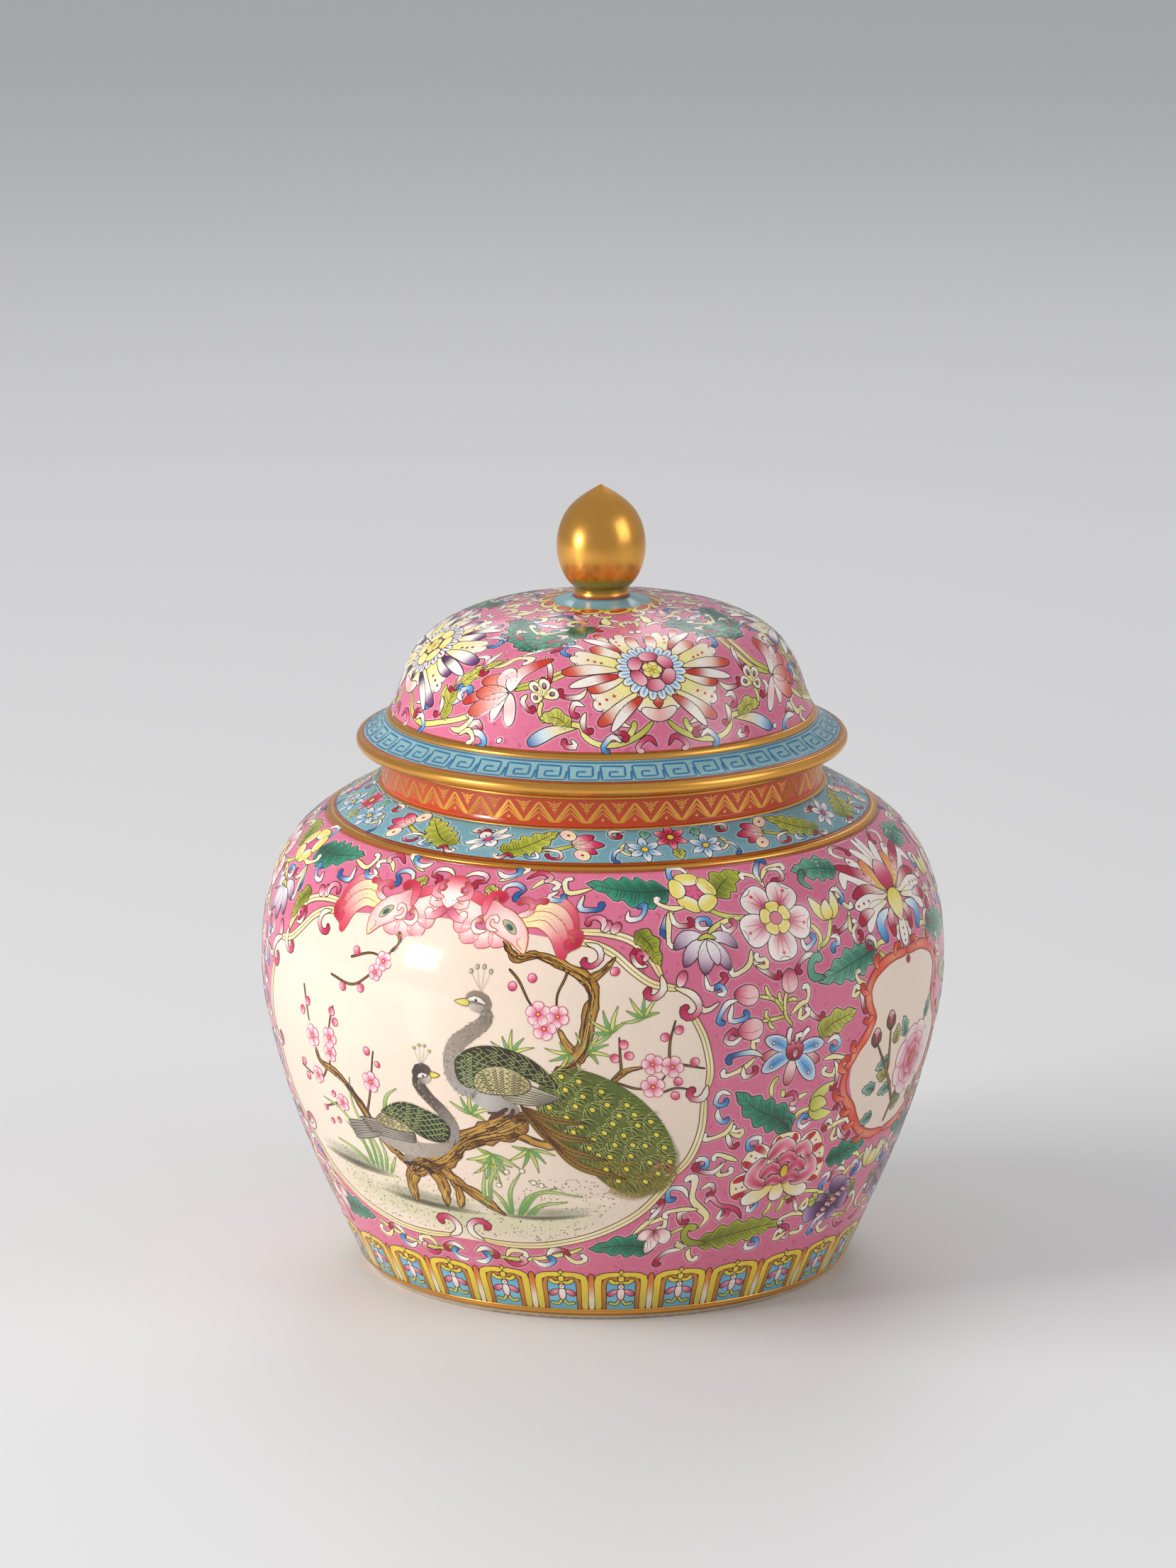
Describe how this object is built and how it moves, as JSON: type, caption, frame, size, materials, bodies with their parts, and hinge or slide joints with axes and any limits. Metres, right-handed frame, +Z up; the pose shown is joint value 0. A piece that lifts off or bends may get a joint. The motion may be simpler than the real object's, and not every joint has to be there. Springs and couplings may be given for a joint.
{
  "type": "ginger jar",
  "caption": "Round-shouldered lidded porcelain jar with a rolled-edge domed lid, bud finial and enamel-painted panels on a floral ground.",
  "frame": {"origin": "centre of the foot ring's resting plane, on the jar's axis", "axes": "+Z up along the jar's axis; -Y through the middle of the large painted panel; +X to the right of that panel, through the middle of a small red-framed panel"},
  "size_m": [0.23, 0.23, 0.2661],
  "materials": {
    "pink_enamel": "gloss",
    "turquoise_enamel": "gloss",
    "coral_enamel": "gloss",
    "white_glaze": "gloss",
    "gilding": "satin",
    "biscuit_foot": "matte"
  },
  "bodies": {
    "jar": {"foot_ring": "biscuit_foot", "lower_body": "pink_enamel", "upper_body": "pink_enamel", "neck_collar": "coral_enamel"},
    "lid": {"lid_locating_ring": "white_glaze", "lid_flange": "turquoise_enamel", "lid_dome": "pink_enamel", "finial": "gilding"}
  },
  "joints": [
    {"name": "lid_lift", "type": "slide", "parent": "jar", "child": "lid", "axis": [0, 0, 1], "range_m": [0, 0.13]}
  ]
}
